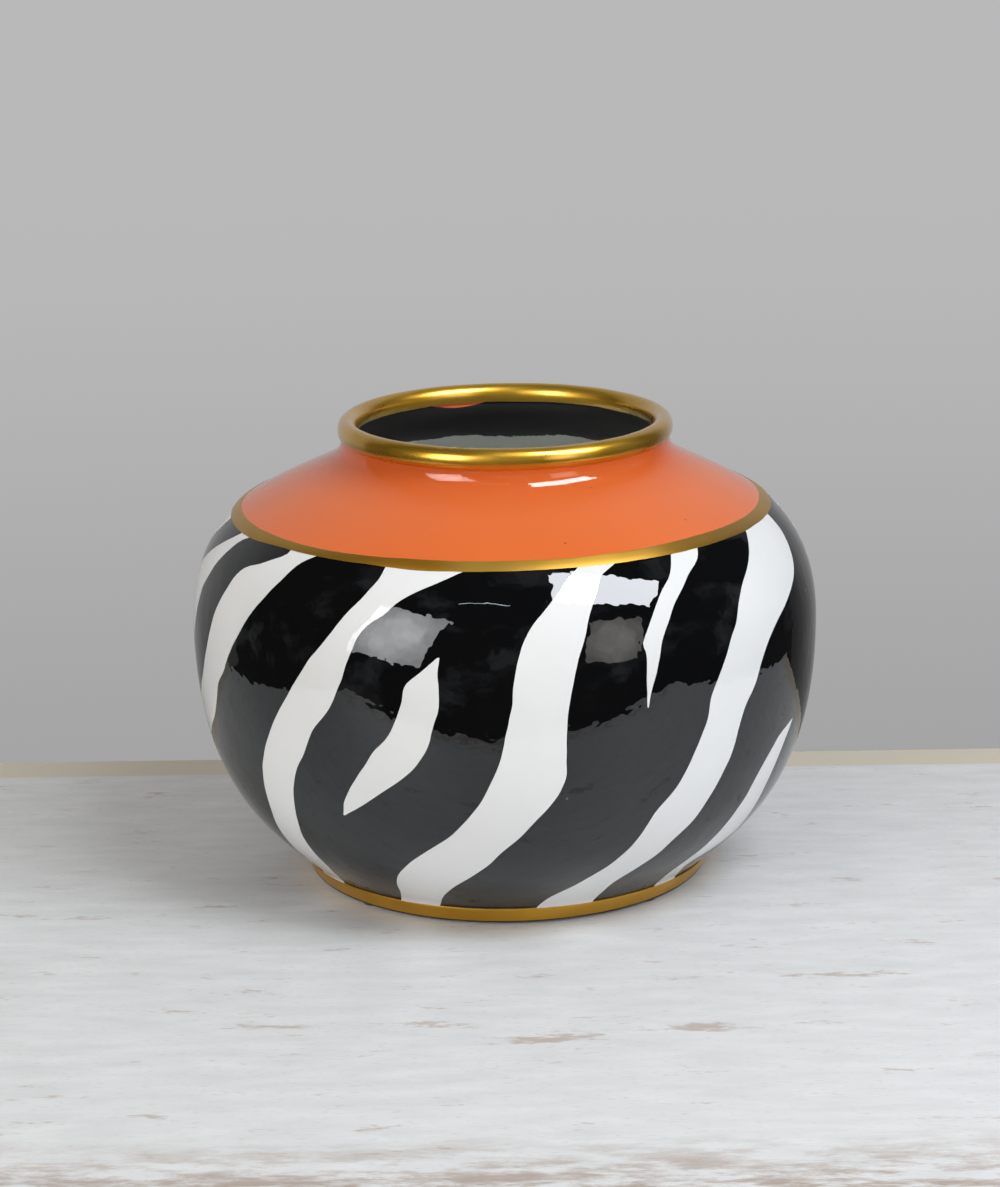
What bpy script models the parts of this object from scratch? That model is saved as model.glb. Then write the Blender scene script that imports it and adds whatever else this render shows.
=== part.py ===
"""Round striped vase: a wide bowl-shaped body on a foot ring, with a sloping shoulder and a rolled rim.

Run it with: blender --background --python part.py
Metres, +Z up. The turning axis is Z, and the vase stands on z = 0. A radius is measured from that axis,
and an angle in degrees from level, turning from outwards (0) through straight up (90) to inwards (180).
"""

import math

import bmesh
import bpy
from mathutils import Vector
from mathutils.geometry import interpolate_bezier

# Foot ring and the pads under it
PAD_COUNT = 4
PAD_DIAMETER = 0.011
PAD_THICKNESS = 0.0012
FOOT_RADIUS = 0.0907
FOOT_WIDTH = 0.014
FOOT_HEIGHT = 0.0079
FOOT_EDGE_ROUND = 0.0009

# Height of each section of the body, from the foot ring up, and of the neck's upright last stretch
LOWER_BOWL_HEIGHT = 0.1062
UPPER_BOWL_HEIGHT = 0.0507
LINE_HEIGHT = 0.0035
SHOULDER_HEIGHT = 0.0222
NECK_HEIGHT = 0.0066
NECK_UPRIGHT = 0.0022

# Outside radius where the sections meet
BOWL_FOOT_RADIUS = 0.0936
BELLY_RADIUS = 0.1400
LINE_LOWER_RADIUS = 0.1204
LINE_UPPER_RADIUS = 0.1152
NECK_RADIUS = 0.0732

# How the outside curves between them: the angle it leaves at, and how far each end pulls the curve
BOWL_FOOT_ANGLE = 44.0
BOWL_FOOT_PULL = 0.0230
BELLY_LOWER_PULL = 0.0730
BELLY_UPPER_PULL = 0.0300
LINE_LOWER_ANGLE = 133.0
LINE_LOWER_PULL = 0.0110
LINE_UPPER_ANGLE = 153.0
LINE_UPPER_PULL = 0.0360
NECK_PULL = 0.0060

# Clay thickness
WALL = 0.0060
FLOOR_THICKNESS = 0.0080
FLOOR_ROUND = 0.0240

# Rolled rim
RIM_WIDTH = 0.0088
RIM_HEIGHT = 0.0104

# Facets
SEGMENTS = 64
PAD_SEGMENTS = 20
LOWER_BOWL_POINTS = 11
UPPER_BOWL_POINTS = 8
SHOULDER_POINTS = 14
FLOOR_ROUND_POINTS = 5
FOOT_EDGE_POINTS = 3
RIM_POINTS = 15

# Heights of the joints between the sections
FOOT_UNDERSIDE = PAD_THICKNESS
FOOT_TOP = FOOT_UNDERSIDE + FOOT_HEIGHT
BELLY = FOOT_TOP + LOWER_BOWL_HEIGHT
LINE_LOWER = BELLY + UPPER_BOWL_HEIGHT
LINE_UPPER = LINE_LOWER + LINE_HEIGHT
SHOULDER_TOP = LINE_UPPER + SHOULDER_HEIGHT
NECK_TOP = SHOULDER_TOP + NECK_HEIGHT
FLOOR_TOP = FOOT_TOP + FLOOR_THICKNESS

# Colour, roughness and metallic value of each finish
GOLD_LUSTRE = ((0.45, 0.27, 0.06, 1.0), 0.22, 1.0)
BLACK_GLAZE = ((0.010, 0.011, 0.012, 1.0), 0.12, 0.0)
ORANGE_GLAZE = ((0.80, 0.16, 0.03, 1.0), 0.14, 0.0)
GREY_FELT = ((0.06, 0.055, 0.05, 1.0), 0.95, 0.0)


def clear_scene():
    for obj in list(bpy.data.objects):
        bpy.data.objects.remove(obj, do_unlink=True)


def toward(angle):
    """The direction at this angle from level, as radius and height."""
    return Vector((math.cos(math.radians(angle)), math.sin(math.radians(angle))))


def span(start, start_angle, start_pull, end, end_angle, end_pull, points):
    """A curve between two (radius, height) points that leaves and arrives at the angles given."""
    start, end = Vector(start), Vector(end)
    start_handle = start + toward(start_angle) * start_pull
    end_handle = end - toward(end_angle) * end_pull
    curve = interpolate_bezier(start, start_handle, end_handle, end, points)
    return [Vector(point[:2]) for point in curve]


def arc(centre, half_width, half_height, first, last, points):
    """Points on an ellipse, from one angle to another."""
    middle = Vector(centre)
    turned = [math.radians(first + (last - first) * i / (points - 1)) for i in range(points)]
    return [middle + Vector((half_width * math.cos(a), half_height * math.sin(a))) for a in turned]


def outer_outline():
    """The outside of the clay from the foot ring's top to the rim, as (radius, height) going up."""
    belly = (BELLY_RADIUS, BELLY)
    line_lower = (LINE_LOWER_RADIUS, LINE_LOWER)
    line_upper = (LINE_UPPER_RADIUS, LINE_UPPER)
    lower_bowl = span(
        (BOWL_FOOT_RADIUS, FOOT_TOP), BOWL_FOOT_ANGLE, BOWL_FOOT_PULL,
        belly, 90, BELLY_LOWER_PULL, LOWER_BOWL_POINTS,
    )
    upper_bowl = span(
        belly, 90, BELLY_UPPER_PULL,
        line_lower, LINE_LOWER_ANGLE, LINE_LOWER_PULL, UPPER_BOWL_POINTS,
    )
    shoulder = span(
        line_upper, LINE_UPPER_ANGLE, LINE_UPPER_PULL,
        (NECK_RADIUS, NECK_TOP - NECK_UPRIGHT), 90, NECK_PULL, SHOULDER_POINTS,
    )
    return lower_bowl + upper_bowl[1:] + shoulder + [Vector((NECK_RADIUS, NECK_TOP))]


def inner_outline(outer):
    """The inside of the wall: each point of the outside moved in by the wall's thickness, square to it."""
    inner = []
    for i, point in enumerate(outer):
        before = outer[max(i - 1, 0)]
        after = outer[min(i + 1, len(outer) - 1)]
        along = (after - before).normalized()
        if i == len(outer) - 1:
            along = toward(90)
        inner.append(point + Vector((-along.y, along.x)) * WALL)
    return inner


def radius_at(outline, height):
    """The outline's radius at a height, on the straight line between its two nearest points."""
    for low, high in zip(outline, outline[1:]):
        if low.y <= height <= high.y:
            share = (height - low.y) / (high.y - low.y)
            return low.x + (high.x - low.x) * share
    return outline[0].x if height < outline[0].y else outline[-1].x


def cut(outline, low, high):
    """The stretch of an outline between two heights, with its ends exactly there."""
    between = [point for point in outline if low < point.y < high]
    first = Vector((radius_at(outline, low), low))
    last = Vector((radius_at(outline, high), high))
    return [first] + between + [last]


def ring_profile(outer, inner, low, high):
    """A section of the wall between two flat joints, as a closed loop that goes down its outside."""
    return cut(outer, low, high)[::-1] + cut(inner, low, high)


def floor_profile(inner):
    """The inside of the bowl from the axis out along the floor and round its corner to the wall."""
    corner = Vector((radius_at(inner, FLOOR_TOP), FLOOR_TOP))
    rounding_top = FLOOR_TOP + FLOOR_ROUND / 2
    end = Vector((radius_at(inner, rounding_top), rounding_top))
    start = corner - Vector((FLOOR_ROUND, 0))
    rounded = interpolate_bezier(
        start, start.lerp(corner, 0.6), end.lerp(corner, 0.6), end, FLOOR_ROUND_POINTS
    )
    return [Vector((0, FLOOR_TOP))] + [Vector(point[:2]) for point in rounded]


def lower_bowl_profile(outer, inner):
    """The closed bottom of the body: floor, then up the inside, then down the outside to the foot ring."""
    floor = floor_profile(inner)
    inside = floor + cut(inner, floor[-1].y, BELLY)[1:]
    outside = cut(outer, FOOT_TOP, BELLY)[::-1]
    return inside + outside + [Vector((0, FOOT_TOP))]


def foot_profile():
    """The foot ring as a closed loop, with both edges of its underside rounded."""
    rounding = FOOT_EDGE_ROUND
    inside_radius = FOOT_RADIUS - FOOT_WIDTH
    centre_height = FOOT_UNDERSIDE + rounding
    outside = (FOOT_RADIUS - rounding, centre_height)
    inside = (inside_radius + rounding, centre_height)
    outer_edge = arc(outside, rounding, rounding, 0, -90, FOOT_EDGE_POINTS)
    inner_edge = arc(inside, rounding, rounding, -90, -180, FOOT_EDGE_POINTS)
    outer_top = Vector((BOWL_FOOT_RADIUS, FOOT_TOP))
    inner_top = Vector((inside_radius, FOOT_TOP))
    return [outer_top] + outer_edge + inner_edge + [inner_top]


def rim_profile():
    """The rolled rim: an oval that stands on the neck's wall, cut flat where the two meet."""
    middle = NECK_RADIUS - WALL / 2
    half_width, half_height = RIM_WIDTH / 2, RIM_HEIGHT / 2
    seat_angle = math.degrees(math.acos(min(WALL / RIM_WIDTH, 1.0)))
    rise = half_height * math.sin(math.radians(seat_angle))
    over_the_top = arc(
        (middle, NECK_TOP + rise), half_width, half_height,
        180 + seat_angle, -seat_angle, RIM_POINTS,
    )
    over_the_top[0].y = NECK_TOP
    over_the_top[-1].y = NECK_TOP
    return over_the_top


def finish(name, look):
    colour, roughness, metallic = look
    material = bpy.data.materials.new(name)
    material.use_nodes = True
    shader = material.node_tree.nodes["Principled BSDF"]
    shader.inputs["Base Color"].default_value = colour
    shader.inputs["Roughness"].default_value = roughness
    shader.inputs["Metallic"].default_value = metallic
    material.diffuse_color = colour
    return material


def add_mesh(collection, name, mesh, look):
    obj = bpy.data.objects.new(name, mesh)
    obj.data.materials.append(finish(name, look))
    collection.objects.link(obj)
    return obj


def turned(collection, name, profile, look, closed=True):
    """Turns a profile of (radius, height) points about Z into a solid."""
    points = [(point.x, 0, point.y) for point in profile]
    edges = [(i, i + 1) for i in range(len(points) - 1)]
    if closed:
        edges.append((len(points) - 1, 0))
    mesh = bpy.data.meshes.new(name)
    mesh.from_pydata(points, edges, [])
    obj = add_mesh(collection, name, mesh, look)
    screw = obj.modifiers.new("Turn", "SCREW")
    screw.axis = "Z"
    screw.steps = SEGMENTS
    screw.render_steps = SEGMENTS
    screw.use_merge_vertices = True
    screw.merge_threshold = 0.00001
    screw.use_smooth_shade = True
    return obj


def felt_pad(collection, number):
    """One of the pads stuck under the foot ring, spaced evenly round it."""
    mesh = bpy.data.meshes.new(f"felt_pad_{number}")
    shape = bmesh.new()
    bmesh.ops.create_cone(
        shape, cap_ends=True, segments=PAD_SEGMENTS,
        radius1=PAD_DIAMETER / 2, radius2=PAD_DIAMETER / 2, depth=PAD_THICKNESS,
    )
    shape.to_mesh(mesh)
    shape.free()
    pad = add_mesh(collection, f"felt_pad_{number}", mesh, GREY_FELT)
    angle = math.tau * (number - 0.5) / PAD_COUNT
    distance = FOOT_RADIUS - FOOT_WIDTH / 2
    pad.location = (distance * math.cos(angle), distance * math.sin(angle), PAD_THICKNESS / 2)
    return pad


def build():
    clear_scene()
    vase = bpy.data.collections.new("vase")
    bpy.context.scene.collection.children.link(vase)
    outer = outer_outline()
    inner = inner_outline(outer)
    for number in range(1, PAD_COUNT + 1):
        felt_pad(vase, number)
    turned(vase, "foot_ring", foot_profile(), GOLD_LUSTRE)
    turned(vase, "lower_bowl", lower_bowl_profile(outer, inner), BLACK_GLAZE, closed=False)
    turned(vase, "upper_bowl", ring_profile(outer, inner, BELLY, LINE_LOWER), BLACK_GLAZE)
    turned(vase, "shoulder_line", ring_profile(outer, inner, LINE_LOWER, LINE_UPPER), GOLD_LUSTRE)
    turned(vase, "shoulder", ring_profile(outer, inner, LINE_UPPER, SHOULDER_TOP), ORANGE_GLAZE)
    turned(vase, "neck_collar", ring_profile(outer, inner, SHOULDER_TOP, NECK_TOP), ORANGE_GLAZE)
    turned(vase, "rolled_rim", rim_profile(), GOLD_LUSTRE)


build()
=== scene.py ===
"""Looks of a round vase: black glaze with white stripes, an orange shoulder, and gold foot, line and rim.

Metres, +Z up. The vase stands on z = 0 and was turned about the Z axis, so a radius is measured from there.
Its front, which the camera faces, is -Y. An angle round the vase is in degrees from the front, towards +X.
"""

import bisect
import math

import bmesh
import bpy
from mathutils import Matrix, Vector, noise
from mathutils.geometry import interpolate_bezier


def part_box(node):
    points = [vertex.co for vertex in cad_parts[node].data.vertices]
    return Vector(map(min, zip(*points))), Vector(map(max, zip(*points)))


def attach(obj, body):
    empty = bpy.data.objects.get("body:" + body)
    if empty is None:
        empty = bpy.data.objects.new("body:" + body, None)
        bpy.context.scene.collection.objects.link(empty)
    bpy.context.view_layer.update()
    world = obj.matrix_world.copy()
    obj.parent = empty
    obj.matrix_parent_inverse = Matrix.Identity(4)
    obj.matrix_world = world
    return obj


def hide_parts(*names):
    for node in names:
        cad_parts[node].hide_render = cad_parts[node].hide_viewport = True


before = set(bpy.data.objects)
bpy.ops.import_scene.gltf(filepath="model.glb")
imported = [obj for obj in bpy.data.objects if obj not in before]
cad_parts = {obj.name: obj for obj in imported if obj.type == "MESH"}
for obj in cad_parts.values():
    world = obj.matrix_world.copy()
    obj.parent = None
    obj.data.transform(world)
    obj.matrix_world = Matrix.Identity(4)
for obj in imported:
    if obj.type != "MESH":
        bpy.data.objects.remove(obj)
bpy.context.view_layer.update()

# Bowl.
# The wide body is thrown in white clay, with a flat floor that rounds up into the wall. Its outside is dipped
# in black glaze and its inside in a thin grey one. The underside, within the foot ring, is left bare.

WALL = 0.0060
NECK_RADIUS = 0.0732
NECK_UPRIGHT = 0.0010

foot_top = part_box("foot_ring")[1].z
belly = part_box("lower_bowl")[1].z
line_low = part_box("shoulder_line")[0].z
line_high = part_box("shoulder_line")[1].z
neck_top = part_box("neck_collar")[1].z
bowl_foot_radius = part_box("foot_ring")[1].x
belly_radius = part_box("lower_bowl")[1].x
line_low_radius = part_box("shoulder_line")[1].x
line_high_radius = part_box("shoulder")[1].x


def heading(angle):
    """The direction at this angle from level, as radius and height."""
    return Vector((math.cos(math.radians(angle)), math.sin(math.radians(angle))))


def rib(start, start_angle, start_pull, end, end_angle, end_pull, points=44):
    """The curve that a potter's rib leaves between two (radius, height) points."""
    start, end = Vector(start), Vector(end)
    first = start + heading(start_angle) * start_pull
    last = end - heading(end_angle) * end_pull
    return [Vector(point[:2]) for point in interpolate_bezier(start, first, last, end, points)]


# How the outside curves: its angle from level where sections meet, and how far each end pulls the curve.
BOWL_FOOT_ANGLE = 44
BOWL_FOOT_PULL = 0.0230
BELLY_LOWER_PULL = 0.0730
BELLY_UPPER_PULL = 0.0300
LINE_LOWER_ANGLE = 133
LINE_LOWER_PULL = 0.0110
LINE_UPPER_ANGLE = 150
LINE_UPPER_PULL = 0.0310
LINE_PULL = 0.0020
LINE_POINTS = 8
UPRIGHT = 90
NECK_PULL = 0.0100

foot_joint = (bowl_foot_radius, foot_top)
belly_joint = (belly_radius, belly)
line_low_joint = (line_low_radius, line_low)
line_high_joint = (line_high_radius, line_high)
neck_joint = (NECK_RADIUS, neck_top - NECK_UPRIGHT)
outside = (
    rib(foot_joint, BOWL_FOOT_ANGLE, BOWL_FOOT_PULL, belly_joint, UPRIGHT, BELLY_LOWER_PULL)
    + rib(belly_joint, UPRIGHT, BELLY_UPPER_PULL, line_low_joint, LINE_LOWER_ANGLE, LINE_LOWER_PULL)[1:]
    + rib(
        line_low_joint, LINE_LOWER_ANGLE, LINE_PULL, line_high_joint, LINE_UPPER_ANGLE, LINE_PULL, LINE_POINTS
    )[1:]
    + rib(line_high_joint, LINE_UPPER_ANGLE, LINE_UPPER_PULL, neck_joint, UPRIGHT, NECK_PULL)[1:]
    + [Vector((NECK_RADIUS, neck_top))]
)


def radius_on(run, height):
    """The radius of a rising run of (radius, height) points at a height."""
    after = bisect.bisect_left(run, height, key=lambda point: point.y)
    if after == 0:
        return run[0].x
    if after == len(run):
        return run[-1].x
    low, high = run[after - 1], run[after]
    return low.x + (high.x - low.x) * (height - low.y) / (high.y - low.y)


def facing(height):
    """Which way the outside faces at a height, as radius and height."""
    reach = 0.0006
    low = max(height - reach, outside[0].y)
    high = min(height + reach, outside[-1].y)
    across = radius_on(outside, high) - radius_on(outside, low)
    return Vector((high - low, -across)).normalized()


def on_skin(height, proud):
    """A (radius, height) point that stands this far out of the clay's outside."""
    return Vector((radius_on(outside, height), height)) + facing(height) * proud


inside = [on_skin(point.y, -WALL) for point in outside]
inside[-1] = Vector((NECK_RADIUS - WALL, neck_top))


def between(run, low, high):
    """The stretch of a rising run between two heights, with its ends exactly there."""
    apart = 0.0001
    middle = [point for point in run if low + apart < point.y < high - apart]
    return [Vector((radius_on(run, low), low)), *middle, Vector((radius_on(run, high), high))]


# Facets round the vase.
TURNS = 192


def throw(form, run, finish):
    """Turns a run of (radius, height) points once round Z in one finish, and adds that to the form."""
    turned = bmesh.new()
    dots = [turned.verts.new((point.x, 0, point.y)) for point in run]
    lines = [turned.edges.new(pair) for pair in zip(dots, dots[1:])]
    bmesh.ops.spin(
        turned, geom=dots + lines, cent=(0, 0, 0), axis=(0, 0, 1), angle=math.tau, steps=TURNS,
        use_merge=True,
    )
    for face in turned.faces:
        face.material_index = finish
    mesh = bpy.data.meshes.new("turned")
    turned.to_mesh(mesh)
    turned.free()
    form.from_mesh(mesh)
    bpy.data.meshes.remove(mesh)


def ease(value, start, end):
    """0 before start, 1 after end, and a smooth rise between them."""
    share = min(max((value - start) / (end - start), 0.0), 1.0)
    return share * share * (3 - 2 * share)


# How far the turn of the shoulder climbs per metre across, how far the mouth sits to one side, and how far it
# sinks per metre towards the front, with the heights between which each of these grows or fades.
LINE_TILT = 0.0085
LINE_TILT_GROWS = (0.135, 0.160)
LINE_TILT_FADES = (0.172, 0.190)
MOUTH_SHIFT = 0.0013
MOUTH_TILT = 0.0042
MOUTH_MOVE_GROWS = (0.170, 0.192)


def fire(form):
    """A fired pot is never quite true: the turn of the shoulder tilts here, and the mouth sits off to one
    side and dips towards the front."""
    for vert in form.verts:
        x, y, z = vert.co
        near_line = ease(z, *LINE_TILT_GROWS) * (1 - ease(z, *LINE_TILT_FADES))
        if near_line > 0:
            lift = LINE_TILT * x * near_line
            radius = math.hypot(x, y)
            grown = radius + radius_on(outside, z + lift) - radius_on(outside, z)
            vert.co = Vector((x * grown / radius, y * grown / radius, z + lift))
        near_mouth = ease(z, *MOUTH_MOVE_GROWS)
        vert.co.x += MOUTH_SHIFT * near_mouth
        vert.co.z -= MOUTH_TILT * (NECK_RADIUS - y) * near_mouth


# Points this near are one point, and faces that meet more sharply than this keep a visible edge.
SEAM = 0.000004
CREASE = math.radians(35)


def finish_piece(name, form, *finishes):
    """Closes the seams, smooths the faces between creases and makes the object."""
    bmesh.ops.remove_doubles(form, verts=form.verts, dist=SEAM)
    bmesh.ops.recalc_face_normals(form, faces=form.faces)
    for face in form.faces:
        face.smooth = True
    for edge in form.edges:
        edge.smooth = not edge.is_boundary and edge.calc_face_angle(0) < CREASE
    mesh = bpy.data.meshes.new(name)
    form.to_mesh(mesh)
    form.free()
    piece = bpy.data.objects.new(name, mesh)
    bpy.context.scene.collection.objects.link(piece)
    for finish in finishes:
        mesh.materials.append(finish)
    return piece


def put(tree, kind, values=None, **settings):
    """Adds a node, with its settings, and with numbers or links on its inputs."""
    node = tree.nodes.new(kind)
    for name, value in settings.items():
        setattr(node, name, value)
    for name, value in (values or {}).items():
        if isinstance(value, bpy.types.NodeSocket):
            tree.links.new(value, node.inputs[name])
        else:
            node.inputs[name].default_value = value
    return node


def maths(tree, operation, first, second=0.0, third=0.0):
    """The result of one sum."""
    values = {0: first, 1: second, 2: third}
    return put(tree, "ShaderNodeMath", values, operation=operation).outputs[0]


def steps(tree, value, low, high, to_low=0.0, to_high=1.0):
    """Value eased from one range to another."""
    values = {"Value": value, "From Min": low, "From Max": high, "To Min": to_low, "To Max": to_high}
    return put(tree, "ShaderNodeMapRange", values, interpolation_type="SMOOTHSTEP").outputs[0]


def blend(tree, share, first, second):
    """The first colour at share 0, the second at 1. Sockets 6, 7 and 2 are the node's colours."""
    values = {0: share, 6: first, 7: second}
    return put(tree, "ShaderNodeMix", values, data_type="RGBA").outputs[2]


def mottle(tree, where, scale, detail, roughness=0.5):
    """Noise round 0.5."""
    values = {"Vector": where, "Scale": scale, "Detail": detail, "Roughness": roughness}
    return put(tree, "ShaderNodeTexNoise", values).outputs["Fac"]


# Most of the noise lies within the narrow range, and nearly all of it within the wide one.
NARROW = (0.3, 0.7)
WIDE = (0.2, 0.8)


def new_group(name, inputs, outputs):
    """A shader node group with number sockets. Returns it, its inputs' node and its outputs' node."""
    group = bpy.data.node_groups.new(name, "ShaderNodeTree")
    for label in inputs:
        group.interface.new_socket(label, in_out="INPUT", socket_type="NodeSocketFloat")
    for label in outputs:
        group.interface.new_socket(label, in_out="OUTPUT", socket_type="NodeSocketFloat")
    return group, group.nodes.new("NodeGroupInput"), group.nodes.new("NodeGroupOutput")


# One index of refraction, that of glaze, does for every finish.
GLAZE_IOR = 1.6


def new_finish(name, roughness=0.5, metallic=0.0):
    """An opaque material, its node tree and its shader."""
    material = bpy.data.materials.new(name)
    material.use_nodes = True
    shader = material.node_tree.nodes["Principled BSDF"]
    shader.inputs["Roughness"].default_value = roughness
    shader.inputs["Metallic"].default_value = metallic
    shader.inputs["IOR"].default_value = GLAZE_IOR
    return material, material.node_tree, shader


def raise_bumps(tree, shader, height, depth):
    """Bumps of this depth, where the height runs from 0 to 1."""
    bump = put(tree, "ShaderNodeBump", {"Strength": 1.0, "Distance": depth, "Height": height})
    tree.links.new(bump.outputs["Normal"], shader.inputs["Normal"])


# Fired glaze lies in soft ripples a few millimetres across over slow waves, and it traps a few specks. Of the
# cells that it is divided into, this share has no speck. A speck's edge is eased between two distances.
WAVE_SCALE = 45.0
WAVE_HEIGHT = 2.2
CLOUD_SCALE = 14.0
SPECKLESS_SHARE = (0.76, 0.77)
SPECK_EDGE = (0.05, 0.025)
SPECK_HEIGHT = 0.6

glaze, asked, given = new_group(
    "fired glaze", ["Ripple Scale", "Speck Scale"], ["Height", "Speck", "Cloud"]
)
where = put(glaze, "ShaderNodeTexCoord").outputs["Object"]
ripple = mottle(glaze, where, asked.outputs["Ripple Scale"], detail=1.0)
wave = mottle(glaze, where, WAVE_SCALE, detail=1.0)
cloud = mottle(glaze, where, CLOUD_SCALE, detail=3.0)
cell = put(glaze, "ShaderNodeTexVoronoi", {"Vector": where, "Scale": asked.outputs["Speck Scale"]})
chance = put(glaze, "ShaderNodeSeparateColor", {"Color": cell.outputs["Color"]}).outputs[0]
rare = steps(glaze, chance, *SPECKLESS_SHARE)
speck = maths(glaze, "MULTIPLY", steps(glaze, cell.outputs["Distance"], *SPECK_EDGE), rare)
height = maths(glaze, "MULTIPLY_ADD", wave, WAVE_HEIGHT, ripple)
glaze.links.new(maths(glaze, "MULTIPLY_ADD", speck, SPECK_HEIGHT, height), given.inputs["Height"])
glaze.links.new(speck, given.inputs["Speck"])
glaze.links.new(cloud, given.inputs["Cloud"])


def new_glaze(name, deep, pale, ripple_scale=175.0, speck_scale=75.0):
    """A glaze that clouds between two colours: its material, tree, shader, skin and colour."""
    material, tree, shader = new_finish(name)
    sizes = {"Ripple Scale": ripple_scale, "Speck Scale": speck_scale}
    skin = put(tree, "ShaderNodeGroup", sizes, node_tree=glaze)
    return material, tree, shader, skin, blend(tree, skin.outputs["Cloud"], deep, pale)


def fire_glaze(tree, shader, skin, colour, speck, smooth, rough, bumps, clouds=NARROW):
    """Gives a glaze its colour, with specks in another, its two roughnesses and its ripples."""
    tree.links.new(blend(tree, skin.outputs["Speck"], colour, speck), shader.inputs["Base Color"])
    tree.links.new(steps(tree, skin.outputs["Cloud"], *clouds, smooth, rough), shader.inputs["Roughness"])
    raise_bumps(tree, shader, skin.outputs["Height"], bumps)


black_glaze, tree, shader, skin, dipped = new_glaze(
    "black_glaze", deep=(0.0016, 0.0017, 0.0020, 1), pale=(0.0030, 0.0030, 0.0032, 1)
)
fire_glaze(
    tree, shader, skin, dipped, speck=(0.11, 0.11, 0.10, 1), smooth=0.012, rough=0.028, bumps=0.00011
)
# The cool tint on the glaze's reflections is a painted reflection colour, standing in for the cool light of
# the room.
shader.inputs["Specular Tint"].default_value = (0.94, 0.97, 1.0, 1)

grey_glaze, tree, shader, skin, thin_grey = new_glaze(
    "grey_inside_glaze", deep=(0.82, 0.85, 0.82, 1), pale=(0.90, 0.92, 0.89, 1),
    ripple_scale=130.0, speck_scale=60.0,
)
fire_glaze(
    tree, shader, skin, thin_grey, speck=(0.12, 0.11, 0.10, 1), smooth=0.38, rough=0.60, bumps=0.00006
)

bare_clay, tree, shader, skin, fired = new_glaze(
    "bare_white_clay", deep=(0.58, 0.53, 0.46, 1), pale=(0.68, 0.64, 0.57, 1),
    ripple_scale=900.0, speck_scale=140.0,
)
fire_glaze(
    tree, shader, skin, fired, speck=(0.20, 0.15, 0.11, 1), smooth=0.78, rough=0.95, bumps=0.00008,
    clouds=WIDE,
)

# The floor's upper side, how far its corner is rounded, and how strongly the corner pulls that curve.
FLOOR_TOP = 0.0171
FLOOR_ROUND = 0.0240
CORNER_PULL = 0.6
CORNER_POINTS = 14

# Rings of points part of the way out keep the triangles of the flat floor and underside short.
FLOOR_RING = 0.03
UNDERSIDE_RINGS = (0.04, 0.09)

# The black glaze runs on this far behind the gold of the foot and of the line.
BLACK_BEHIND_FOOT = 0.0009
BLACK_BEHIND_LINE = 0.0013

corner = Vector((radius_on(inside, FLOOR_TOP), FLOOR_TOP))
rounding_start = corner - Vector((FLOOR_ROUND, 0))
rounding_top = FLOOR_TOP + FLOOR_ROUND / 2
rounding_end = Vector((radius_on(inside, rounding_top), rounding_top))
rounding = interpolate_bezier(
    rounding_start, rounding_start.lerp(corner, CORNER_PULL), rounding_end.lerp(corner, CORNER_PULL),
    rounding_end, CORNER_POINTS,
)
floor_run = [Vector((radius, FLOOR_TOP)) for radius in (0, FLOOR_RING)]
floor_run += [Vector(point[:2]) for point in rounding]

black_start = Vector((bowl_foot_radius, foot_top - BLACK_BEHIND_FOOT))
black_end = line_low + BLACK_BEHIND_LINE
black_run = [black_start, *between(outside, foot_top, black_end)]
wall_run = floor_run + between(inside, rounding_end.y, line_low)[1:]
underside_run = [Vector((radius, foot_top)) for radius in (0, *UNDERSIDE_RINGS)] + [black_start]

form = bmesh.new()
throw(form, black_run, finish=0)
throw(form, [black_run[-1], wall_run[-1]], finish=1)
throw(form, wall_run, finish=1)
throw(form, underside_run, finish=2)
fire(form)
bowl = finish_piece("glazed_bowl", form, black_glaze, grey_glaze, bare_clay)
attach(bowl, "root")
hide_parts("lower_bowl", "upper_bowl")

# White stripes.
# Each is a lick of white glaze laid over the black with a full brush, so it stands a hair proud and its edges
# wander. They run from the gold line down to the foot and lean to the left. Short ones taper out.

# How far a stripe stands out, its thickness, how far and how fast its edges wander, and its grid's steps.
PROUD = 0.00010
BRUSH_DEPTH = 0.00026
BRUSH_WANDER = 0.00030
WANDER_SCALE = 160
ROW = 0.0016
COLUMN = 0.0045
FEWEST_COLUMNS = 4

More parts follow.
